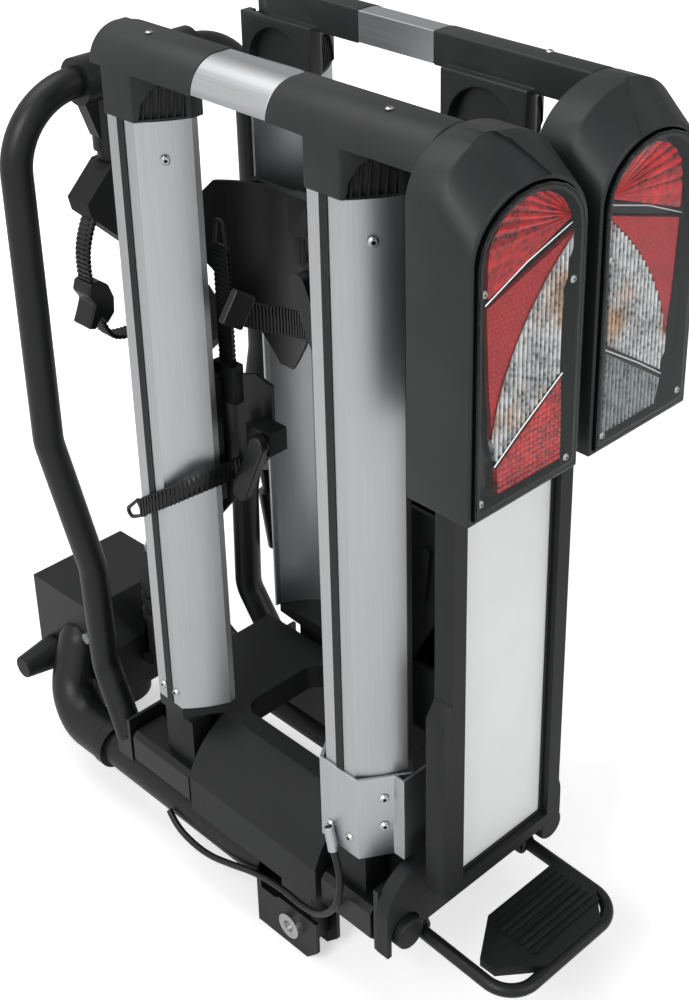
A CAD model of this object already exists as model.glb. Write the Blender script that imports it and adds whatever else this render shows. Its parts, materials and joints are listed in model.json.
import json
import math

import bmesh
import bpy
from mathutils import Matrix, Vector


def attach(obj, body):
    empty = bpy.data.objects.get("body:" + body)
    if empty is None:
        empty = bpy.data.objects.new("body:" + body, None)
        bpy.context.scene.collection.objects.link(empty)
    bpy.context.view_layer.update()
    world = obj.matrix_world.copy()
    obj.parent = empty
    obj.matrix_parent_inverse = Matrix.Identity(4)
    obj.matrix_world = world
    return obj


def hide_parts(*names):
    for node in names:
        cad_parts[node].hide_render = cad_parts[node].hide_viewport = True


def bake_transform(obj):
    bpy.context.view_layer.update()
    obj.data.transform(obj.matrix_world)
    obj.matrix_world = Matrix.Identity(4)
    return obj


# Folding tow bar bike carrier. Places are given in millimetres in the part's own frame, where Y = 0 is
# the middle of the licence plate's holder; the origin of the scene is the middle of the footprint.
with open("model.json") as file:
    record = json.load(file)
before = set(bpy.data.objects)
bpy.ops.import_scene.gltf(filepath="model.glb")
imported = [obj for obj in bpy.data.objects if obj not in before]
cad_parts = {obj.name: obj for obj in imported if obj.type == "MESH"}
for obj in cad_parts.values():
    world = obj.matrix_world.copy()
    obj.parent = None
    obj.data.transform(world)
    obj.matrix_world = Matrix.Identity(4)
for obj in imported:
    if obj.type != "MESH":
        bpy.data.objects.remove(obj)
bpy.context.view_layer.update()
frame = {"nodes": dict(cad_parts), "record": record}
record = frame["record"]
footprintMiddleY = 263.0
sides = {"left": -1, "right": 1}


def at(x, y, z):
    return Vector((x, y - footprintMiddleY, z)) / 1000


def mm(value):
    return value / 1000


# Materials
def linear(hexColour):
    parts = [int(hexColour[i:i + 2], 16) / 255 for i in (1, 3, 5)]
    return tuple(c / 12.92 if c <= 0.04045 else ((c + 0.055) / 1.055) ** 2.4 for c in parts) + (1.0,)


def setInputs(tree, node, inputs):
    for key, value in inputs.items():
        if isinstance(value, bpy.types.Node):
            value = value.outputs[0]
        if isinstance(value, bpy.types.NodeSocket):
            tree.links.new(value, node.inputs[key])
        else:
            node.inputs[key].default_value = value


def addNode(tree, kind, inputs=None, **settings):
    node = tree.nodes.new(kind)
    for name, value in settings.items():
        setattr(node, name, value)
    setInputs(tree, node, inputs or {})  # each input is a value, a socket, or a node for its first output
    return node


def newMaterial(name, inputs):
    material = bpy.data.materials.new(name)
    material.use_nodes = True
    shader = material.node_tree.nodes["Principled BSDF"]
    setInputs(material.node_tree, shader, inputs)
    return material, material.node_tree, shader


noiseSpread = {"From Min": 0.3, "From Max": 0.7}  # most of a noise's values lie between these
cloudDetail, grainDetail = 3.0, 2.0


def grained(name, dark, light, roughness, grainMm, grainDepthMm, cloudMm=60, specular=0.5):
    material, tree, shader = newMaterial(name, {"Specular IOR Level": specular})
    place = addNode(tree, "ShaderNodeTexCoord").outputs["Object"]
    cloud = addNode(tree, "ShaderNodeTexNoise", {
        "Vector": place, "Scale": 1000 / cloudMm, "Detail": cloudDetail})
    grain = addNode(tree, "ShaderNodeTexNoise", {
        "Vector": place, "Scale": 1000 / grainMm, "Detail": grainDetail})
    shade = addNode(tree, "ShaderNodeMapRange", {"Value": cloud, **noiseSpread})
    colour = addNode(tree, "ShaderNodeMix", {"Factor": shade, 6: linear(dark), 7: linear(light)},
                     data_type="RGBA")
    rough = addNode(tree, "ShaderNodeMapRange", {
        "Value": grain, **noiseSpread, "To Min": roughness[0], "To Max": roughness[1]})
    bump = addNode(tree, "ShaderNodeBump", {"Height": grain, "Strength": 1.0, "Distance": mm(grainDepthMm)})
    setInputs(tree, shader, {"Base Color": colour.outputs[2], "Roughness": rough, "Normal": bump})
    return material


brushedValues = {"cloudMm": 90, "cloudRoughness": 0.05, "streakDepthMm": 0.02, "streakStrength": 0.6}


def brushed(name, dark, light, roughness, streakMm):
    values = brushedValues
    material, tree, shader = newMaterial(name, {"Metallic": 1.0})
    place = addNode(tree, "ShaderNodeTexCoord").outputs["Object"]
    drawn = addNode(tree, "ShaderNodeMapping", {"Vector": place, "Scale": [1000 / size for size in streakMm]})
    streak = addNode(tree, "ShaderNodeTexNoise", {"Vector": drawn, "Scale": 1.0, "Detail": grainDetail})
    cloud = addNode(tree, "ShaderNodeTexNoise", {
        "Vector": place, "Scale": 1000 / values["cloudMm"], "Detail": cloudDetail})
    shade = addNode(tree, "ShaderNodeMapRange", {"Value": streak, **noiseSpread})
    colour = addNode(tree, "ShaderNodeMix", {"Factor": shade, 6: linear(dark), 7: linear(light)},
                     data_type="RGBA")
    streakRough = addNode(tree, "ShaderNodeMapRange", {
        "Value": streak, **noiseSpread, "To Min": roughness[0], "To Max": roughness[1]})
    cloudRough = addNode(tree, "ShaderNodeMapRange", {
        "Value": cloud, **noiseSpread, "To Max": values["cloudRoughness"]})
    rough = addNode(tree, "ShaderNodeMath", {0: streakRough, 1: cloudRough}, operation="ADD")
    bump = addNode(tree, "ShaderNodeBump", {
        "Height": streak, "Strength": values["streakStrength"], "Distance": mm(values["streakDepthMm"])})
    setInputs(tree, shader, {"Base Color": colour.outputs[2], "Roughness": rough, "Normal": bump})
    return material


# Powder coated steel: satin black with the faint orange peel of baked powder, drawn 1.4 mm wide
powderCoat = grained("powderCoat", "#0f1011", "#151617", roughness=(0.34, 0.44), grainMm=1.4,
                     grainDepthMm=0.03, specular=0.32)
# Moulded polypropylene: a spark eroded grain that scatters light, drawn 0.9 mm wide
mouldedPlastic = grained("mouldedPolypropylene", "#121314", "#191a1b", roughness=(0.46, 0.6), grainMm=0.9,
                         grainDepthMm=0.045, specular=0.3)
# Moulded ABS of lamp housings and end caps: dark grey, smoother and a little lighter
lampAbs = grained("mouldedAbs", "#1f2021", "#272829", roughness=(0.42, 0.52), grainMm=0.8,
                  grainDepthMm=0.03, specular=0.32)
# Glass filled nylon of straps, ratchets and buckles: deep black with a soft gloss
strapNylon = grained("strapNylon", "#090a0b", "#101112", roughness=(0.3, 0.42), grainMm=0.7,
                     grainDepthMm=0.02, specular=0.35)
# EPDM rubber of the claws: matte, nearly no gloss
clawRubber = grained("clawRubber", "#101112", "#171819", roughness=(0.6, 0.72), grainMm=0.9,
                     grainDepthMm=0.05, specular=0.3)
# PVC cable sheath: black with a dull sheen
cableSheath = grained("cableSheath", "#0c0d0e", "#131414", roughness=(0.4, 0.5), grainMm=1.0,
                      grainDepthMm=0.02, cloudMm=20, specular=0.35)
# Clear anodised aluminium extrusion: die lines 0.4 mm apart run along the extrusion
railAluminium = brushed("anodisedAluminium", "#b0b2b4", "#bcbec0", roughness=(0.34, 0.42),
                        streakMm=(0.4, 0.4, 125))
barAluminium = brushed("anodisedBarAluminium", "#a9abad", "#b6b8ba", roughness=(0.3, 0.38),
                       streakMm=(0.4, 125, 0.4))
# Zinc plated steel: bright, with a passivation that clouds over every few millimetres
zincSteel = brushed("zincSteel", "#a9abab", "#c9cac8", roughness=(0.25, 0.38), streakMm=(2.5, 2.5, 2.5))
# Cast iron of the coupling, painted black and rough from the sand
castIron = grained("paintedCastIron", "#151516", "#212122", roughness=(0.55, 0.7), grainMm=2.2,
                   grainDepthMm=0.12)
# Plate: white retroreflective sheet, bare
plateWhite = grained("plateSheet", "#f0f1f1", "#f5f6f6", roughness=(0.4, 0.46), grainMm=1.2,
                     grainDepthMm=0.005)

# The lamps' coloured plastic: its ribs, sparks and clouds each lift its colour from dark to light
lensValues = {"coat": 0.15, "coatRoughness": 0.04, "specular": 0.2, "cloudMm": 22, "cloudLift": (0.3, 1.2),
              "sparkSpread": (0.2, 0.7), "sparkLift": (-0.1, 0.25), "glimpseMm": 42,
              "glimpseSpread": (0.5, 0.66), "glimpseShare": 0.7}


def lensPlastic(name, dark, light, sparkMm, roughness=0.12, glimpse=None):
    values = lensValues
    material, tree, shader = newMaterial(name, {
        "Coat Weight": values["coat"], "Coat Roughness": values["coatRoughness"],
        "Specular IOR Level": values["specular"], "Roughness": roughness})
    place = addNode(tree, "ShaderNodeTexCoord").outputs["Object"]
    rib = addNode(tree, "ShaderNodeAttribute", attribute_name="rib").outputs["Fac"]
    cloud = addNode(tree, "ShaderNodeTexNoise", {
        "Vector": place, "Scale": 1000 / values["cloudMm"], "Detail": cloudDetail})
    cloudLift = addNode(tree, "ShaderNodeMapRange", {
        "Value": cloud, **noiseSpread, "To Min": values["cloudLift"][0], "To Max": values["cloudLift"][1]})
    crest = addNode(tree, "ShaderNodeMath", {0: rib, 1: cloudLift}, operation="MULTIPLY")
    sparks = addNode(tree, "ShaderNodeTexVoronoi", {"Vector": place, "Scale": 1000 / sparkMm})
    sparkLift = addNode(tree, "ShaderNodeMapRange", {
        "Value": sparks, "From Min": values["sparkSpread"][0], "From Max": values["sparkSpread"][1],
        "To Min": values["sparkLift"][0], "To Max": values["sparkLift"][1]})
    lit = addNode(tree, "ShaderNodeMath", {0: crest, 1: sparkLift}, operation="ADD")
    colour = addNode(tree, "ShaderNodeMix", {"Factor": lit, 6: linear(dark), 7: linear(light)},
                     data_type="RGBA")
    if glimpse:
        patches = addNode(tree, "ShaderNodeTexNoise", {
            "Vector": place, "Scale": 1000 / values["glimpseMm"], "Detail": cloudDetail})
        seen = addNode(tree, "ShaderNodeMapRange", {
            "Value": patches, "From Min": values["glimpseSpread"][0], "From Max": values["glimpseSpread"][1],
            "To Max": values["glimpseShare"]})
        bulb = addNode(tree, "ShaderNodeMix", {"Factor": lit, 6: linear(dark), 7: linear(glimpse)},
                       data_type="RGBA")
        colour = addNode(tree, "ShaderNodeMix", {"Factor": seen, 6: colour.outputs[2], 7: bulb.outputs[2]},
                         data_type="RGBA")
    tree.links.new(colour.outputs[2], shader.inputs["Base Color"])
    return material


# Moulded PMMA of the lamp: coloured through, glossy, its ribs flash lighter than the valleys between them
redLens = lensPlastic("redLensPmma", "#3c0104", "#f01a24", sparkMm=5)
redPrism = lensPlastic("redReflectorPmma", "#8c040b", "#c8121d", sparkMm=2.4, roughness=0.2)
darkRedLens = lensPlastic("darkRedPmma", "#5c060a", "#85090f", sparkMm=6)
clearPrism = lensPlastic("clearFlutedPmma", "#171c1e", "#f6f8f9", sparkMm=4, glimpse="#e8a860")
smokedPrism = lensPlastic("smokedFlutedPmma", "#0d1112", "#a9b3b5", sparkMm=4)
# Gloss ABS of the lamp's tray: black and smooth, only faintly mirrored
lampTray = newMaterial("blackGlossAbs", {
    "Base Color": linear("#0a0d0f"), "Roughness": 0.12, "Specular IOR Level": 0.15})[0]
# Vacuum metallised trim and reflector: mirror bright
chromeTrim = newMaterial("vacuumChrome", {
    "Base Color": linear("#d4d8da"), "Metallic": 1.0, "Roughness": 0.08})[0]

coverFinish = {"colour": "#f6fafb", "roughness": 0.03, "blend": 0.5, "steepness": 4.0, "alphaAhead": 0.003,
               "alphaGrazing": 0.45}


def coverPlastic():
    values = coverFinish
    material, tree, shader = newMaterial("clearPmma", {
        "Base Color": linear(values["colour"]), "Metallic": 1.0, "Roughness": values["roughness"]})
    facing = addNode(tree, "ShaderNodeLayerWeight", {"Blend": values["blend"]}).outputs["Facing"]
    steep = addNode(tree, "ShaderNodeMath", {0: facing, 1: values["steepness"]}, operation="POWER")
    alpha = addNode(tree, "ShaderNodeMapRange", {
        "Value": steep, "To Min": values["alphaAhead"], "To Max": values["alphaGrazing"]})
    setInputs(tree, shader, {"Alpha": alpha})
    return material


# Clear PMMA cover: only its surface reflection shows, stronger at a grazing view
clearCover = coverPlastic()
print("materials made")

# Making pieces. Edges that turn by more than the hard angle get the bevel and stay sharp in the shading
edgeValues = {"hardDegrees": 32, "carvedDegrees": 26, "flatDegrees": 0.5, "mergeDistance": 1e-6}


def looseObject(name, data):
    thing = bpy.data.objects.new(name, data)
    bpy.context.scene.collection.objects.link(thing)
    return thing


def addPiece(name, mesh, material, body, slotName, *replaced):
    piece = looseObject(name, mesh)
    if material is not None:
        mesh.materials.clear()
        mesh.materials.append(material)
    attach(piece, body)
    if replaced:
        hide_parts(*replaced)


def baked(source):
    bpy.context.view_layer.update()
    mesh = bpy.data.meshes.new_from_object(source.evaluated_get(bpy.context.evaluated_depsgraph_get()))
    bpy.data.objects.remove(source)
    return mesh


def smoothed(mesh, sharpDegrees=edgeValues["hardDegrees"]):
    mesh.shade_smooth()
    mesh.set_sharp_from_angle(angle=math.radians(sharpDegrees))
    return mesh


def addBevel(thing, widthMm, segments, harden=True):
    edge = thing.modifiers.new("edge", "BEVEL")
    edge.width = mm(widthMm)
    edge.segments = segments
    edge.limit_method = "ANGLE"
    edge.angle_limit = math.radians(edgeValues["hardDegrees"])
    edge.harden_normals = harden


def bevelled(mesh, widthMm, segments=2):
    source = looseObject("bevelled", smoothed(mesh))
    addBevel(source, widthMm, segments)
    return baked(source)


def bodyOf(node):
    for body, nodes in record["behaviour"]["bodies"].items():
        if node in nodes:
            return body


def slotOf(node):
    for part in record["subparts"]:
        if part["node"] == node:
            return part["material_slot"]


def mergedCopy(node):
    mesh = frame["nodes"][node].data.copy()
    work = bmesh.new()
    work.from_mesh(mesh)
    bmesh.ops.remove_doubles(work, verts=work.verts, dist=edgeValues["mergeDistance"])
    bmesh.ops.dissolve_limit(work, angle_limit=math.radians(edgeValues["flatDegrees"]), verts=work.verts,
                             edges=work.edges)
    work.to_mesh(mesh)
    work.free()
    return smoothed(mesh)


def softened(node, material, widthMm, carve=(), segments=2):
    source = looseObject(node + ".work", mergedCopy(node))
    addBevel(source, widthMm, segments, harden=not carve)
    cutters = [looseObject("cutter", mesh) for mesh in carve]
    for cutter in cutters:
        cut = source.modifiers.new("recess", "BOOLEAN")
        cut.object = cutter
        cut.solver = "EXACT"
    mesh = baked(source)
    for cutter in cutters:
        bpy.data.objects.remove(cutter)
    if carve:
        smoothed(mesh, edgeValues["carvedDegrees"])
    addPiece(node + ".soft", mesh, material, bodyOf(node), slotOf(node), node)


def closedMesh(work, name):
    bmesh.ops.recalc_face_normals(work, faces=work.faces)
    mesh = bpy.data.meshes.new(name)
    work.to_mesh(mesh)
    work.free()
    return mesh


def prism(points, direction):
    work = bmesh.new()
    low = [work.verts.new(point) for point in points]
    high = [work.verts.new(point + direction) for point in points]
    work.faces.new(low)
    work.faces.new(list(reversed(high)))
    for i, here in enumerate(low):
        after = (i + 1) % len(low)
        work.faces.new((low[after], here, high[i], high[after]))
    return closedMesh(work, "prism")


def ringMesh(outer, inner, direction):
    work = bmesh.new()
    still = Vector()
    loops = [[work.verts.new(point + shift) for point in points]
             for points, shift in ((outer, still), (inner, still), (inner, direction), (outer, direction))]
    for a, b in zip(loops, loops[1:] + loops[:1]):
        for i in range(len(a)):
            j = (i + 1) % len(a)
            work.faces.new((a[i], a[j], b[j], b[i]))
    return closedMesh(work, "ring")


def curveAlong(name, places, kind="NURBS", resolution=12):
    curve = bpy.data.curves.new(name, "CURVE")
    curve.dimensions = "3D"
    curve.resolution_u = resolution
    spline = curve.splines.new(kind)
    spline.points.add(len(places) - 1)
    for control, place in zip(spline.points, places):
        control.co = (*place, 1)
    if kind == "NURBS":
        spline.order_u = 3
        spline.use_endpoint_u = True
    return curve


# Finishes of the solid nodes that keep their shape
keptFinishes = {
    "chassis_tubes": powderCoat, "chassis_bolts": zincSteel, "ball_socket": castIron, "clamp_jaw": castIron,
    "hoop": powderCoat, "frame_arm_short": powderCoat, "frame_arm_long": powderCoat, "latch_hook": zincSteel,
    "pedal_tube": powderCoat, "hinge_pins": mouldedPlastic, "pivot_bolt": zincSteel,
    "licence_plate": plateWhite, "car_plug": strapNylon, "lock_key": zincSteel, "lock_post": mouldedPlastic}
for side in sides:
    keptFinishes.update({
        "rail_front_" + side: railAluminium, "rail_rear_" + side: railAluminium,
        "lamp_reflector_" + side: chromeTrim})
for node, material in keptFinishes.items():
    for place in frame["nodes"][node].material_slots:
        place.material = material

# Nodes whose hard edges are broken by a small radius, in mm
softEdges = {
    "coupling_box": (powderCoat, 6.0), "platform_cover": (mouldedPlastic, 3.5),
    "platform_sides": (powderCoat, 0.9), "platform_crosses": (powderCoat, 0.9),
    "rear_cover": (mouldedPlastic, 1.2), "holder_mast": (mouldedPlastic, 1.0),
    "plate_holder": (mouldedPlastic, 2.0), "holder_lever": (mouldedPlastic, 1.0),
    "pedal_tread": (mouldedPlastic, 0.7), "clamp_knob": (mouldedPlastic, 1.2),
    "frame_claw_short": (clawRubber, 3.0), "frame_claw_long": (clawRubber, 3.0),
    "wheel_holder_rear_left": (strapNylon, 0.8), "wheel_holder_rear_right": (strapNylon, 0.8)}
for side in sides:
    softEdges.update({
        "hinge_bar_" + side: (powderCoat, 1.5), "rail_feet_" + side: (mouldedPlastic, 0.6),
        "rail_bracket_" + side: (railAluminium, 0.6), "end_bar_cover_" + side: (barAluminium, 0.6),
        "wheel_chock_" + side: (strapNylon, 0.8), "ratchet_lever_" + side: (strapNylon, 2.2)})
for node, (material, widthMm) in softEdges.items():
    softened(node, material, widthMm)
print("frame dressed")


# Geometry Nodes: what repeats on a surface or along a strap
def newTree(name, inputs):
    tree = bpy.data.node_groups.new(name, "GeometryNodeTree")
    tree.interface.new_socket("Geometry", in_out="INPUT", socket_type="NodeSocketGeometry")
    for label, kind in inputs.items():
        tree.interface.new_socket(label, in_out="INPUT", socket_type="NodeSocket" + kind)
    tree.interface.new_socket("Geometry", in_out="OUTPUT", socket_type="NodeSocketGeometry")
    return tree, addNode(tree, "NodeGroupInput").outputs, addNode(tree, "NodeGroupOutput")


def runTree(thing, tree, values):
    modifier = thing.modifiers.new(tree.name, "NODES")
    modifier.node_group = tree
    for item in tree.interface.items_tree:
        if item.in_out == "INPUT" and item.name in values:
            modifier[item.identifier] = values[item.name]
    return baked(thing)


# A screw's head is a low cone; its recess is a hexagon that stands a hair proud of it
screwShape = {"around": 20, "recessCorners": 6, "topShare": 0.62, "recessShare": 0.4, "proudShare": 1.06}


def screwTree():
    values = screwShape
    tree, given, result = newTree("screwHeads", {
        "Radius": "Float", "Height": "Float", "Head": "Material", "Recess": "Material"})
    topRadius = addNode(tree, "ShaderNodeMath", {0: given["Radius"], 1: values["topShare"]},
                        operation="MULTIPLY")
    head = addNode(tree, "GeometryNodeMeshCone", {
        "Vertices": values["around"], "Radius Bottom": given["Radius"], "Radius Top": topRadius,
        "Depth": given["Height"]})
    headFinish = addNode(tree, "GeometryNodeSetMaterial", {"Geometry": head, "Material": given["Head"]})
    recessRadius = addNode(tree, "ShaderNodeMath", {0: given["Radius"], 1: values["recessShare"]},
                           operation="MULTIPLY")
    recessDepth = addNode(tree, "ShaderNodeMath", {0: given["Height"], 1: values["proudShare"]},
                          operation="MULTIPLY")
    recess = addNode(tree, "GeometryNodeMeshCylinder", {
        "Vertices": values["recessCorners"], "Radius": recessRadius, "Depth": recessDepth})
    halfDepth = addNode(tree, "ShaderNodeMath", {0: recessDepth, 1: 2.0}, operation="DIVIDE")
    lift = addNode(tree, "ShaderNodeCombineXYZ", {"Z": halfDepth})
    raised = addNode(tree, "GeometryNodeTransform", {"Geometry": recess, "Translation": lift})
    recessFinish = addNode(tree, "GeometryNodeSetMaterial", {"Geometry": raised, "Material": given["Recess"]})
    whole = addNode(tree, "GeometryNodeJoinGeometry", {"Geometry": headFinish})
    tree.links.new(recessFinish.outputs[0], whole.inputs[0])
    facing = addNode(tree, "GeometryNodeInputNamedAttribute", {"Name": "facing"}, data_type="FLOAT_VECTOR")
    turn = addNode(tree, "FunctionNodeAlignRotationToVector", {"Vector": facing}, axis="Z")
    heads = addNode(tree, "GeometryNodeInstanceOnPoints", {
        "Points": given["Geometry"], "Instance": whole, "Rotation": turn})
    real = addNode(tree, "GeometryNodeRealizeInstances", {"Geometry": heads})
    tree.links.new(real.outputs[0], result.inputs[0])
    return tree


def strapTree():
    tree, given, result = newTree("toothedStrap", {
        "Across": "Vector", "Width": "Float", "Thickness": "Float", "Pitch": "Float", "Tooth": "Float",
        "Tooth Share": "Float", "Finish": "Material"})
    # The band: its line goes to one edge, is drawn out across, and gets half its thickness to each side
    toEdge = addNode(tree, "ShaderNodeMath", {0: given["Width"], 1: -0.5}, operation="MULTIPLY")
    edgeShift = addNode(tree, "ShaderNodeVectorMath", {0: given["Across"], "Scale": toEdge},
                        operation="SCALE")
    line = addNode(tree, "GeometryNodeCurveToMesh", {"Curve": given["Geometry"]})
    edge = addNode(tree, "GeometryNodeSetPosition", {"Geometry": line, "Offset": edgeShift})
    strip = addNode(tree, "GeometryNodeExtrudeMesh", {
        "Mesh": edge, "Offset": given["Across"], "Offset Scale": given["Width"]}, mode="EDGES")
    normal = addNode(tree, "GeometryNodeInputNormal")
    toUnder = addNode(tree, "ShaderNodeMath", {0: given["Thickness"], 1: -0.5}, operation="MULTIPLY")
    underShift = addNode(tree, "ShaderNodeVectorMath", {0: normal, "Scale": toUnder}, operation="SCALE")
    lowered = addNode(tree, "GeometryNodeSetPosition", {"Geometry": strip, "Offset": underShift})
    thick = addNode(tree, "GeometryNodeExtrudeMesh", {
        "Mesh": lowered, "Offset Scale": given["Thickness"], "Individual": False}, mode="FACES")
    under = addNode(tree, "GeometryNodeFlipFaces", {"Mesh": lowered})
    # The teeth: one block at each pitch, square to the band, that stands out on both of its sides
    points = addNode(tree, "GeometryNodeCurveToPoints", {
        "Curve": given["Geometry"], "Length": given["Pitch"]}, mode="LENGTH").outputs
    level = addNode(tree, "FunctionNodeAlignRotationToVector", {"Vector": given["Across"]}, axis="Y")
    turned = addNode(tree, "FunctionNodeAlignRotationToVector", {
        "Rotation": level, "Vector": points["Tangent"]}, axis="Z", pivot_axis="Y")
    toothHeight = addNode(tree, "ShaderNodeMath", {0: given["Tooth"], 1: 2.0, 2: given["Thickness"]},
                          operation="MULTIPLY_ADD")
    toothRun = addNode(tree, "ShaderNodeMath", {0: given["Pitch"], 1: given["Tooth Share"]},
                       operation="MULTIPLY")
    size = addNode(tree, "ShaderNodeCombineXYZ", {"X": toothHeight, "Y": given["Width"], "Z": toothRun})
    tooth = addNode(tree, "GeometryNodeMeshCube", {"Size": size})
    teeth = addNode(tree, "GeometryNodeInstanceOnPoints", {
        "Points": points["Points"], "Instance": tooth, "Rotation": turned})
    whole = addNode(tree, "GeometryNodeJoinGeometry", {"Geometry": teeth})
    tree.links.new(thick.outputs["Mesh"], whole.inputs[0])
    tree.links.new(under.outputs[0], whole.inputs[0])
    real = addNode(tree, "GeometryNodeRealizeInstances", {"Geometry": whole})
    finish = addNode(tree, "GeometryNodeSetMaterial", {"Geometry": real, "Material": given["Finish"]})
    tree.links.new(finish.outputs[0], result.inputs[0])
    return tree


screwHeads = screwTree()
toothedStrap = strapTree()
strapValues = {"width": 18.0, "thickness": 3.0, "pitch": 4.4, "tooth": 0.7, "toothShare": 0.45, "loop": 26.0,
               "loopWall": 3.2, "loopBevel": 0.8, "tipRadius": 6.5, "tipStepDegrees": 20}


def loopEnd(base, along, across):
    values = strapValues
    halfWidth, tip = mm(values["width"]) / 2, mm(values["tipRadius"])
    length, thickness = mm(values["loop"]), mm(values["thickness"])
    normal = along.cross(across)

    def edge(inset):
        radius = tip - inset
        arc = [math.radians(angle) for angle in range(180, -1, -values["tipStepDegrees"])]
        points = [(-halfWidth + inset, inset)]
        points += [(radius * math.cos(a), length - tip + radius * math.sin(a)) for a in arc]
        points += [(halfWidth - inset, inset)]
        return [base + across * u + along * v - normal * thickness / 2 for u, v in points]

    return ringMesh(edge(0), edge(mm(values["loopWall"])), normal * thickness)


def strap(name, body, route, across, loop=True, replaced=(), widthMm=strapValues["width"]):
    values = strapValues
    places = [at(*point) for point in route]
    along = (places[-1] - places[-2]).normalized()
    if loop:
        places[-1] -= along * mm(values["loop"])
    mesh = runTree(looseObject(name, curveAlong(name, places)), toothedStrap, {
        "Across": across, "Width": mm(widthMm), "Thickness": mm(values["thickness"]),
        "Pitch": mm(values["pitch"]), "Tooth": mm(values["tooth"]), "Tooth Share": values["toothShare"],
        "Finish": strapNylon})
    addPiece(name, mesh, None, body, "strap_rubber", *replaced)
    if loop:
        level = Vector(across)
        ring = loopEnd(places[-1], along, (level - along * along.dot(level)).normalized())
        addPiece(name + "_loop", bevelled(ring, values["loopBevel"]), strapNylon, body, "strap_rubber")


# Ratchet straps of the two front wheel holders; the far holder's loose one is wider
wheelStrapValues = {
    "upRoute": [(-46.3, 275, 564), (-46.3, 275, 630), (-46.3, 275, 697)],
    "crossRoute": [(-46.0, 266.0, 464.0), (-70.0, 263.0, 467.0), (-92.0, 268.0, 465.0),
                   (-107.0, 284.0, 454.0), (-115.0, 299.0, 444.0), (-117.0, 318.0, 431.0),
                   (-117.0, 341.0, 414.0)],
    "tieRoute": [(40.0, 257.0, 572.0), (20.0, 248.0, 582.0), (-10.0, 240.0, 602.0), (-40.0, 237.0, 616.0),
                 (-64.0, 237.0, 632.0)],
    "tieWidth": 25.0}
strap("strap_up", "wheel_front_left", wheelStrapValues["upRoute"], (0, 1, 0))
strap("strap_cross", "wheel_front_left", wheelStrapValues["crossRoute"], (0, 0, 1),
      replaced=["wheel_straps_left"])
strap("strap_tie", "wheel_front_right", wheelStrapValues["tieRoute"], (0, 0, 1), loop=False,
      replaced=["wheel_straps_right"], widthMm=wheelStrapValues["tieWidth"])

# Sleeve that the loose strap of the far holder runs through: its ends as X and Z, and its size
sleeveValues = {"from": (-74.0, 640.0), "to": (-54.0, 626.0), "frontY": 233.0, "halfWidth": 15.0,
                "thickness": 8.0, "bevel": 2.0}


def tieSleeve():
    values = sleeveValues
    first, last = (at(x, values["frontY"], z) for x, z in (values["from"], values["to"]))
    along = (last - first).normalized()
    half = Vector((-along.z, 0, along.x)) * mm(values["halfWidth"])
    block = prism([first - half, last - half, last + half, first + half],
                  Vector((0, mm(values["thickness"]), 0)))
    sleeve = bevelled(block, values["bevel"], segments=3)
    addPiece("tie_sleeve", sleeve, strapNylon, "wheel_front_right", "strap_rubber")


tieSleeve()

# Strap of the near claw with its buckle. Both lie about one Y; the route is X and Z, and the buckle's
# outline runs around its middle
clawStrapValues = {
    "middleY": 437.0,
    "route": [(-62.0, 656.0), (-71.0, 638.0), (-74.0, 611.0), (-70.0, 576.0), (-60.0, 544.0), (-48.0, 532.0),
              (-29.2, 531.0)],
    "buckleX": -67.85, "buckleZ": 576.0, "buckleWidth": 26.0, "buckleBevel": 2.2,
    "buckleOutline": [(-15, -20), (-7, -23), (0, -14), (6, -22), (15, -13), (16, 2), (11, 16), (2, 23),
                      (-9, 22), (-12, 12), (-6, 2), (-10, -9)]}


def clawStrap():
    values = clawStrapValues
    middleY, width = values["middleY"], values["buckleWidth"]
    strap("claw_band", "claw_short", [(x, middleY, z) for x, z in values["route"]], (0, 1, 0), loop=False,
          replaced=["claw_strap"])
    outline = [at(values["buckleX"] + u, middleY - width / 2, values["buckleZ"] + v)
               for u, v in values["buckleOutline"]]
    buckle = bevelled(prism(outline, Vector((0, mm(width), 0))), values["buckleBevel"], segments=3)
    addPiece("claw_buckle", buckle, strapNylon, "claw_short", "strap_rubber")


clawStrap()
print("straps made")

# End caps: an arched recess on both sloping faces, with fins that lean along the face. The recess is an
# outline along the face and up; the fins' tops follow a part of a sine
capValues = {"middleY": {"end_cap_front_": 315.0, "end_cap_rear_": 83.0},
             "outerX": 109.0, "baseHalf": 18.5, "innerX": 69.5, "wideHalf": 43.5, "bevel": 6.0,
             "depth": 5.0, "overrun": 2.0,
             "recess": [(4, 791.5), (6, 803), (13, 814), (24, 821), (42, 824), (42, 791.5)]}
finValues = {"count": 6, "first": 7.0, "pitch": 6.3, "width": 1.8, "height": 3.8, "headHeight": 2.1,
             "headSlope": 1.0, "sunk": 0.5, "footZ": 791.0, "topZ": 804.0, "rise": 20.0, "turnFirst": 18,
             "turnStep": 15, "lean": 3.5 / 33, "bevel": 0.35}


def capWall(side, midY, face):
    values = capValues
    s = sides[side]
    corner = at(s * values["outerX"], midY + face * values["baseHalf"], 0)
    lip = at(s * values["innerX"], midY + face * values["wideHalf"], 0)
    along = (lip - corner).normalized()
    outward = Vector((-along.y, along.x, 0))
    if outward.y * face < 0:
        outward = -outward
    return corner, along, outward


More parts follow.
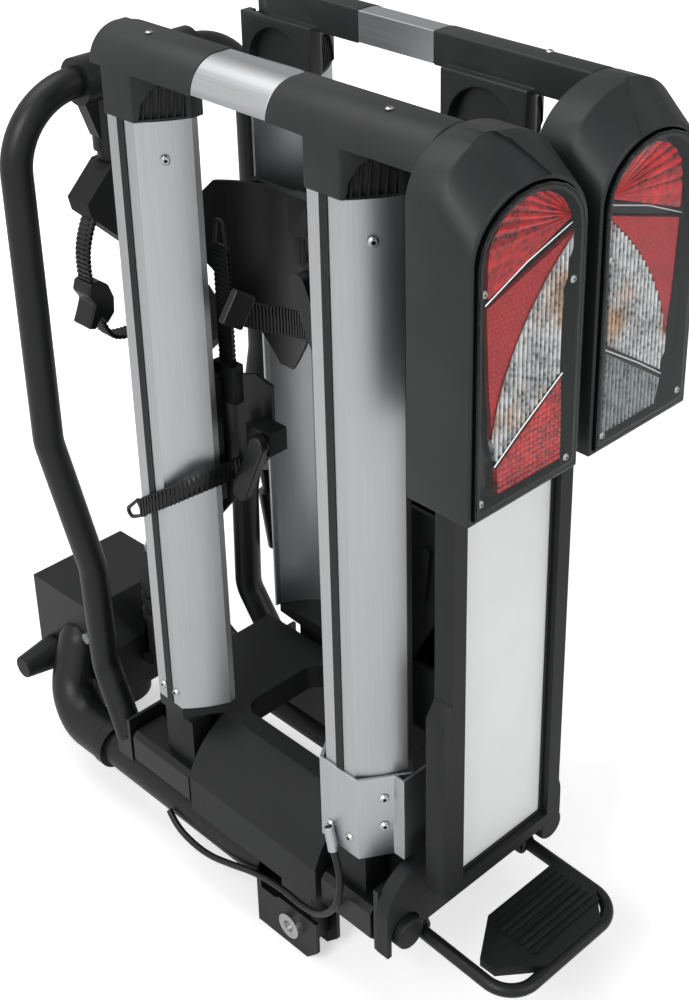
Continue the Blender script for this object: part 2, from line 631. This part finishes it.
def endCap(node, side, midY):
    values, fin = capValues, finValues
    cutters, fins = [], bmesh.new()
    for face in (-1, 1):
        corner, along, outward = capWall(side, midY, face)

        def spot(u, z, out):
            return corner + along * mm(u) + Vector((0, 0, mm(z))) + outward * mm(out)

        cutters.append(prism([spot(u, z, values["overrun"]) for u, z in values["recess"]],
                             outward * -mm(values["depth"] + values["overrun"])))
        floor, foot = -values["depth"], fin["footZ"]
        for i in range(fin["count"]):
            start = fin["first"] + i * fin["pitch"]
            turn = math.radians(min(90, fin["turnFirst"] + i * fin["turnStep"]))
            top = fin["topZ"] + fin["rise"] * math.sin(turn)
            shape = [(floor - fin["sunk"], foot), (floor + fin["height"], foot),
                     (floor + fin["headHeight"], top), (floor - fin["sunk"], top + fin["headSlope"])]
            fins.from_mesh(prism([spot(start + fin["lean"] * (z - foot), z, out) for out, z in shape],
                                 along * mm(fin["width"])))
    softened(node + side, lampAbs, values["bevel"], carve=cutters, segments=3)
    addPiece(node + side + ".fins", bevelled(closedMesh(fins, "fins"), fin["bevel"]), mouldedPlastic,
             "fold_" + side, "black_plastic")


# Shallow recess on the sloping roof of each lamp housing. Its corners are X and a share down the slope
housingValues = {"bevel": 6.0, "recessDepth": 2.6, "overrun": 4.0, "slopeTop": (-38.0, 860.3),
                 "slopeFoot": (-73.5, 830.7), "normal": (0.0, -0.64, 0.768),
                 "corners": [(99.5, 0.0), (70.0, 0.06), (61.0, 0.28), (46.5, 1.0), (101.5, 0.97),
                             (99.4, 0.45)]}


def housingRecess(side):
    values = housingValues
    (topY, topZ), (footY, footZ) = values["slopeTop"], values["slopeFoot"]
    normal = Vector(values["normal"])
    points = [at(sides[side] * x, topY + (footY - topY) * share, topZ + (footZ - topZ) * share)
              + normal * mm(values["overrun"]) for x, share in values["corners"]]
    return prism(points, normal * -mm(values["recessDepth"] + values["overrun"]))


for side in sides:
    for node, midY in capValues["middleY"].items():
        endCap(node, side, midY)
    softened("lamp_housing_" + side, lampAbs, housingValues["bevel"], carve=[housingRecess(side)], segments=4)
print("end caps made")

# Screws and bolts of one half, as it is on the right: each has its place and the way that it faces
screwFacings = {"outwards": (1, 0, 0), "slanting": (0.55, -0.83, 0), "up": (0, 0, 1), "rearwards": (0, -1, 0)}
screwValues = {
    "rail_screws": {"radius": 4.2, "height": 1.8, "places": [
        (91, 50.4, 758, "slanting"), (91, 282.4, 758, "slanting"), (107.8, 324, 226, "outwards"),
        (107.8, 306, 226, "outwards")]},
    "bracket_screws": {"radius": 4.6, "height": 1.8, "places": [
        (110.6, 71, 204, "outwards"), (110.6, 95, 204, "outwards"), (91, 47.6, 219, "slanting"),
        (91, 47.6, 249, "slanting")]},
    "cap_screws": {"radius": 3.2, "height": 1.0, "places": [(84, 40, 857.3, "up"), (84, 300, 857.3, "up")]},
    "lens_screws": {"radius": 3.0, "height": 1.2, "places": [
        (113, -72.6, 765, "rearwards"), (21, -72.6, 745, "rearwards"), (113, -72.6, 605, "rearwards"),
        (21, -72.6, 603, "rearwards")]}}


def screws(name, side, values):
    s = sides[side]
    points = bpy.data.meshes.new(name)
    points.from_pydata([at(s * x, y, z) for x, y, z, facing in values["places"]], [], [])
    facings = points.attributes.new("facing", "FLOAT_VECTOR", "POINT")
    for i, (x, y, z, facing) in enumerate(values["places"]):
        sideways, forwards, upwards = screwFacings[facing]
        facings.data[i].vector = Vector((s * sideways, forwards, upwards)).normalized()
    mesh = runTree(looseObject(name, points), screwHeads, {
        "Radius": mm(values["radius"]), "Height": mm(values["height"]), "Head": zincSteel,
        "Recess": lampTray})
    addPiece(name, mesh, None, "fold_" + side, "bright_steel")


for side in sides:
    for name, values in screwValues.items():
        screws(name + "_" + side, side, values)
print("screws placed")

# Rear lamps: a clear cover over coloured, ribbed inserts that lie 8 mm behind it in a black tray.
# Shares run from the outer edge of the lens to the inner one, and from its foot to its top.
lampValues = {"outerX": 120.6, "innerX": 11.4, "lowZ": 594.4, "topZ": 827.6, "faceY": -76.0, "insertY": -68.0,
              "trayY": -63.0, "shoulderShare": 0.817, "arcSteps": 10, "coverThickness": 1.6,
              "coverBevel": 0.7, "wallStart": 1.7, "wallThickness": 2.4, "trayThickness": 3.0,
              "trayInset": 2.0, "rim": 5.0, "rimInset": 0.6, "rimThickness": 1.2, "rimBevel": 0.3,
              "trimWidth": 1.8, "trimProud": 0.4}
ribValues = {"thickness": 3.0, "pitch": 4.6, "height": 1.6, "prismPitch": 4.0, "prismHeight": 0.7,
             "prismAngles": (30, 90, 150), "fanHub": (0.93, 0.845), "fanDegrees": 7.0, "cutDistance": 1e-7,
             "faceDistance": 1e-5}


def lampPoint(side, share, upShare, y):
    values = lampValues
    x = values["outerX"] + (values["innerX"] - values["outerX"]) * share
    return at(sides[side] * x, y, values["lowZ"] + (values["topZ"] - values["lowZ"]) * upShare)


def arcShares(centre, radii, fromDegrees, toDegrees):
    steps = lampValues["arcSteps"]
    angles = [math.radians(fromDegrees + (toDegrees - fromDegrees) * i / steps) for i in range(steps + 1)]
    return [(centre[0] + radii[0] * math.cos(a), centre[1] + radii[1] * math.sin(a)) for a in angles]


def curveShares(start, via, end):
    steps = lampValues["arcSteps"]
    control = [via[i] * 2 - (start[i] + end[i]) / 2 for i in (0, 1)]
    points = []
    for count in range(steps + 1):
        t = count / steps
        points.append(tuple(start[i] * (1 - t) ** 2 + control[i] * 2 * t * (1 - t) + end[i] * t * t
                            for i in (0, 1)))
    return points


wedgeEdge = curveShares((0.955, 0.79), (0.44, 0.53), (0.2, 0.235))
lampShapes = {
    "dome": [(0.14, 0.7)] + arcShares((0.53, 0.8), (0.39, 0.165), 180, 22) + [(0.905, 0.838)],
    "reflector": [(0.14, 0.668), (0.17, 0.42), (0.2, 0.29)] + list(reversed(wedgeEdge)),
    "wedge": wedgeEdge + [(0.25, 0.15), (0.86, 0.342), (0.875, 0.62)],
    "low": [(0.255, 0.12), (0.275, 0.03), (0.89, 0.03), (0.875, 0.318)],
    "trimHigh": [(0.12, 0.682), (0.5, 0.76), (0.93, 0.822)],
    "trimLow": [(0.235, 0.132), (0.5, 0.218), (0.885, 0.332)]}


# An insert is cut along each rib's middle and along each valley, and its front is raised at the ribs. The
# ribs run square to each angle given, or without one as a fan from the lens's inner corner
def ribbedInsert(name, side, shape, pitch, height, angles, material):
    values, insertY = ribValues, lampValues["insertY"]
    outline = [lampPoint(side, *shares, insertY) for shares in shape]
    hub = lampPoint(side, *values["fanHub"], insertY)
    middle = sum(outline, Vector()) / len(outline)
    step, fanStep = mm(pitch) / 2, math.radians(values["fanDegrees"]) / 2
    count = int(max((point - middle).length for point in outline) / step) + 1
    ways = [Vector((math.cos(math.radians(angle)), 0, math.sin(math.radians(angle)))) for angle in angles]
    cuts = [(middle + way * step * i, way) for way in ways for i in range(-count, count + 1)]
    if not angles:
        turns = [fanStep * i for i in range(int(math.pi / fanStep))]
        cuts = [(hub, Vector((-math.sin(turn), 0, math.cos(turn)))) for turn in turns]

    mesh = prism(outline, Vector((0, mm(values["thickness"]), 0)))
    work = bmesh.new()
    work.from_mesh(mesh)
    bmesh.ops.triangulate(work, faces=work.faces)
    for place, way in cuts:
        bmesh.ops.bisect_plane(work, geom=work.verts[:] + work.edges[:] + work.faces[:], plane_co=place,
                               plane_no=way, dist=values["cutDistance"])
    rib = work.verts.layers.float.new("rib")
    for vert in work.verts:
        away = vert.co - hub
        phases = [(vert.co - middle).dot(way) / step for way in ways]
        if not angles:
            phases = [math.atan2(away.z, away.x) / fanStep]
        vert[rib] = sum(0.5 - 0.5 * math.cos(math.pi * phase) for phase in phases) / len(phases)
        if abs(away.y) < values["faceDistance"]:
            vert.co.y -= mm(height) * vert[rib]
    work.to_mesh(mesh)
    work.free()
    addPiece(name + "_" + side, mesh, material, "fold_" + side, "lamp_lens")


def trimLine(name, side, shape, material):
    trimY = lampValues["insertY"] - lampValues["trimProud"]
    line = curveAlong(name, [lampPoint(side, *shares, trimY) for shares in shape], "POLY")
    line.bevel_depth = mm(lampValues["trimWidth"]) / 2
    line.bevel_resolution = 1
    line.use_fill_caps = True
    mesh = baked(looseObject(name, line))
    mesh.shade_smooth()
    addPiece(name + "_" + side, mesh, material, "fold_" + side, "lamp_chrome")


def lensOutline(side, insetMm, y):
    values = lampValues
    acrossShare = insetMm / (values["outerX"] - values["innerX"])
    upShare = insetMm / (values["topZ"] - values["lowZ"])
    shoulder = values["shoulderShare"]
    arc = arcShares((0.5, shoulder), (0.5 - acrossShare, 1 - shoulder - upShare), 180, 0)
    shape = [(acrossShare, upShare)] + arc + [(1 - acrossShare, upShare)]
    return [lampPoint(side, *shares, y) for shares in shape]


def rearLamp(side, lowMaterial, lowAngles):
    values, ribs, shapes = lampValues, ribValues, lampShapes
    body = "fold_" + side
    face, tray = values["faceY"], values["trayY"]
    wallY, wallEnd = face + values["wallStart"], tray + values["trayThickness"]
    cover = prism(lensOutline(side, 0, face), Vector((0, mm(values["coverThickness"]), 0)))
    addPiece("lens_cover_" + side, bevelled(cover, values["coverBevel"]), clearCover, body, "lamp_lens",
             "lamp_lens_" + side)
    wall = ringMesh(lensOutline(side, 0, wallY), lensOutline(side, values["wallThickness"], wallY),
                    Vector((0, mm(wallEnd - wallY), 0)))
    addPiece("lens_wall_" + side, wall, lampTray, body, "lamp_lens")
    floor = prism(lensOutline(side, values["trayInset"], tray), Vector((0, mm(values["trayThickness"]), 0)))
    addPiece("lens_tray_" + side, floor, lampTray, body, "lamp_lens")
    rim = ringMesh(lensOutline(side, values["rimInset"], wallY), lensOutline(side, values["rim"], wallY),
                   Vector((0, mm(values["rimThickness"]), 0)))
    addPiece("lens_rim_" + side, bevelled(rim, values["rimBevel"]), lampTray, body, "lamp_lens")
    pitch, height = ribs["pitch"], ribs["height"]
    ribbedInsert("lamp_dome", side, shapes["dome"], pitch, height, (), redLens)
    ribbedInsert("lamp_reflex", side, shapes["reflector"], ribs["prismPitch"], ribs["prismHeight"],
                 ribs["prismAngles"], redPrism)
    ribbedInsert("lamp_wedge", side, shapes["wedge"], pitch, height, (0,), clearPrism)
    ribbedInsert("lamp_low", side, shapes["low"], pitch, height, lowAngles, lowMaterial)
    trimLine("trim_high", side, shapes["trimHigh"], chromeTrim)
    trimLine("trim_wedge", side, wedgeEdge, darkRedLens)
    trimLine("trim_low", side, shapes["trimLow"], chromeTrim)


# The near lamp has a red fog lens of small squares at its foot, the far one smoked flutes
rearLamp("left", redLens, (0, 90))
rearLamp("right", smokedPrism, (0,))
print("lamps made")

# Cords. Their routes are the ones that the solid part follows; diameter and length are in metres
leadValues = {
    "diameter": 0.0064, "length": 0.338, "around": 14, "sharpDegrees": 50,
    "blendStart": (-112.0, 170.0, 80.0), "blendEnd": (-119.0, 76.0, 160.0),
    "route": [(-108.6, 332.0, 65.0), (-110.9, 323.0, 59.0), (-111.5, 304.0, 50.0), (-111.0, 272.0, 48.0),
              (-110.5, 238.0, 59.0), (-110.8, 200.0, 74.5), (-113.0, 162.0, 84.0), (-116.0, 130.0, 86.0),
              (-120.0, 104.0, 97.0), (-122.5, 86.0, 115.0), (-123.5, 75.0, 134.0), (-121.5, 72.0, 154.0),
              (-118.0, 78.0, 170.0), (-116.3, 85.0, 182.0)]}
cableValues = {
    "diameter": 0.0084, "length": 0.417,
    "route": [(62.0, 394.2, 134.0), (62.0, 416.0, 134.0), (62.0, 441.0, 145.0), (62.0, 459.0, 166.0),
              (62.0, 467.0, 193.0), (62.0, 468.0, 224.0), (62.5, 465.0, 258.0), (61.5, 464.0, 292.0),
              (62.0, 466.0, 324.0), (63.0, 469.0, 350.0), (72.0, 472.0, 371.0), (90.0, 474.0, 383.0),
              (112.0, 472.0, 384.0), (130.0, 464.0, 372.0), (139.0, 452.0, 352.0), (140.0, 443.0, 330.0),
              (139.0, 438.0, 311.0)]}
cordResolution = 16


def tubeAlong(path, radius, around, sharpDegrees):
    work = bmesh.new()
    rings = []
    normal = Vector((1, 0, 0))
    for i, point in enumerate(path):
        before, after = path[max(i - 1, 0)], path[min(i + 1, len(path) - 1)]
        tangent = (after - before).normalized()
        normal = (normal - tangent * normal.dot(tangent)).normalized()
        across = tangent.cross(normal)
        rings.append([work.verts.new(point + (normal * math.cos(a) + across * math.sin(a)) * radius)
                      for a in [math.tau * k / around for k in range(around)]])
    for a, b in zip(rings, rings[1:]):
        for k in range(around):
            n = (k + 1) % around
            work.faces.new((a[k], a[n], b[n], b[k]))
    work.faces.new(list(reversed(rings[0])))
    work.faces.new(rings[-1])
    return smoothed(closedMesh(work, "tube"), sharpDegrees)


def lampLead():
    values = leadValues
    route = curveAlong("lampLeadRoute", [at(*point) for point in values["route"]], resolution=cordResolution)
    path = [vert.co.copy() for vert in baked(looseObject("lampLeadRoute", route)).vertices]
    mesh = tubeAlong(path, values["diameter"] / 2, values["around"], values["sharpDegrees"])
    mesh.materials.append(cableSheath)
    lead = looseObject("lamp_lead_sheath", mesh)
    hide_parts("lamp_lead")
    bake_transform(lead)


def mainCable():
    values = cableValues
    route = [at(*point) for point in values["route"]]
    curve = curveAlong("main_cable_sheath", route, resolution=cordResolution)
    curve.bevel_depth = values["diameter"] / 2
    curve.bevel_resolution = 6
    curve.use_fill_caps = True
    curve.materials.append(cableSheath)
    cable = looseObject("main_cable_sheath", curve)
    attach(cable, "platform")
    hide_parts("main_cable")


lampLead()
mainCable()
print("cords laid")

# Camera, solved from the plate's corners: place in metres, angles in degrees, lens and sensor in mm
cameraValues = {"location": (-0.85794, -0.98857, 1.24114), "azimuth": -43.5, "down": 27.5, "roll": -1.43,
                "lens": 61.13, "sensor": 36, "shiftY": -0.15}


def addCamera():
    values = cameraValues
    azimuth, down, roll = (math.radians(values[key]) for key in ("azimuth", "down", "roll"))
    backward = Vector((math.sin(azimuth), -math.cos(azimuth), math.tan(down))) * math.cos(down)
    level = Vector((math.cos(azimuth), math.sin(azimuth), 0))
    right = level * math.cos(roll) + backward.cross(level) * math.sin(roll)
    data = bpy.data.cameras.new("camera")
    data.lens = values["lens"]
    data.sensor_width = values["sensor"]
    data.shift_y = values["shiftY"]
    camera = looseObject("camera", data)
    turn = Matrix((right, backward.cross(right), backward)).transposed().to_4x4()
    camera.matrix_world = Matrix.Translation(values["location"]) @ turn
    bpy.context.scene.camera = camera


# Floor and light, in metres and watts. The room is white to the camera and through clear plastic. In
# reflections it is brighter on the left than on the right, and the floor is darker near the part
roomValues = {"colour": "#ffffff", "strength": 0.3, "leftReach": -0.9, "leftStrength": 1.2, "rightReach": 0.7,
              "rightStrength": 0.45}
floorValues = {"reach": 6.0, "colour": "#f4f4f4", "roughness": 0.8, "mirroredShare": 0.25, "nearReach": 0.5,
               "nearShare": 0.5, "farReach": 1.8, "farShare": 1.0}
lightValues = {"key": {"place": (-2.4, -0.6, 2.4), "target": (0, 0, 0.4), "size": 1.6, "power": 44},
               "fill": {"place": (0.6, -2.8, 1.4), "target": (0, 0, 0.4), "size": 2.0, "power": 24},
               "top": {"place": (-0.3, 0.9, 3.0), "target": (0, 0, 0.5), "size": 2.0, "power": 26}}


def seenAndMirrored(tree):
    path = addNode(tree, "ShaderNodeLightPath").outputs
    seen = addNode(tree, "ShaderNodeMath", {0: path["Is Camera Ray"], 1: path["Is Transmission Ray"]},
                   operation="MAXIMUM")
    return seen, path["Is Glossy Ray"]


def addRoom():
    values = roomValues
    world = bpy.data.worlds.new("paleRoom")
    bpy.context.scene.world = world
    world.use_nodes = True
    tree = world.node_tree
    seen, mirrored = seenAndMirrored(tree)
    direction = addNode(tree, "ShaderNodeTexCoord").outputs["Generated"]
    sideways = addNode(tree, "ShaderNodeSeparateXYZ", {0: direction})
    falling = addNode(tree, "ShaderNodeMapRange", {
        "Value": sideways, "From Min": values["leftReach"], "From Max": values["rightReach"],
        "To Min": values["leftStrength"], "To Max": values["rightStrength"]})
    lighting = addNode(tree, "ShaderNodeMix", {"Factor": mirrored, 2: values["strength"], 3: falling})
    strength = addNode(tree, "ShaderNodeMix", {"Factor": seen, 2: lighting, 3: 1.0})
    setInputs(tree, tree.nodes["Background"], {"Color": linear(values["colour"]), "Strength": strength})


def addFloor():
    values = floorValues
    material, tree, shader = newMaterial("paleFloor", {
        "Base Color": linear(values["colour"]), "Roughness": values["roughness"],
        "Emission Color": linear(roomValues["colour"])})
    seen, mirrored = seenAndMirrored(tree)
    pale = addNode(tree, "ShaderNodeMath", {0: mirrored, 1: values["mirroredShare"], 2: seen},
                   operation="MULTIPLY_ADD")
    place = addNode(tree, "ShaderNodeTexCoord").outputs["Object"]
    away = addNode(tree, "ShaderNodeVectorMath", {0: place}, operation="LENGTH").outputs["Value"]
    share = addNode(tree, "ShaderNodeMapRange", {
        "Value": away, "From Min": values["nearReach"], "From Max": values["farReach"],
        "To Min": values["nearShare"], "To Max": values["farShare"]})
    glow = addNode(tree, "ShaderNodeMath", {0: pale, 1: share}, operation="MULTIPLY")
    setInputs(tree, shader, {"Emission Strength": glow})
    reach = values["reach"]
    mesh = bpy.data.meshes.new("floor")
    mesh.from_pydata([(-reach, -reach, 0), (reach, -reach, 0), (reach, reach, 0), (-reach, reach, 0)], [],
                     [(0, 1, 2, 3)])
    mesh.materials.append(material)
    looseObject("floor", mesh)


def addLights():
    for name, values in lightValues.items():
        data = bpy.data.lights.new(name, "AREA")
        data.shape = "DISK"
        data.size = values["size"]
        data.energy = values["power"]
        light = looseObject(name, data)
        place = Vector(values["place"])
        light.location = place
        light.rotation_euler = (Vector(values["target"]) - place).to_track_quat("-Z", "Y").to_euler()


addCamera()
addRoom()
addFloor()
addLights()
bpy.context.scene.view_settings.view_transform = "Standard"
print("stage set")
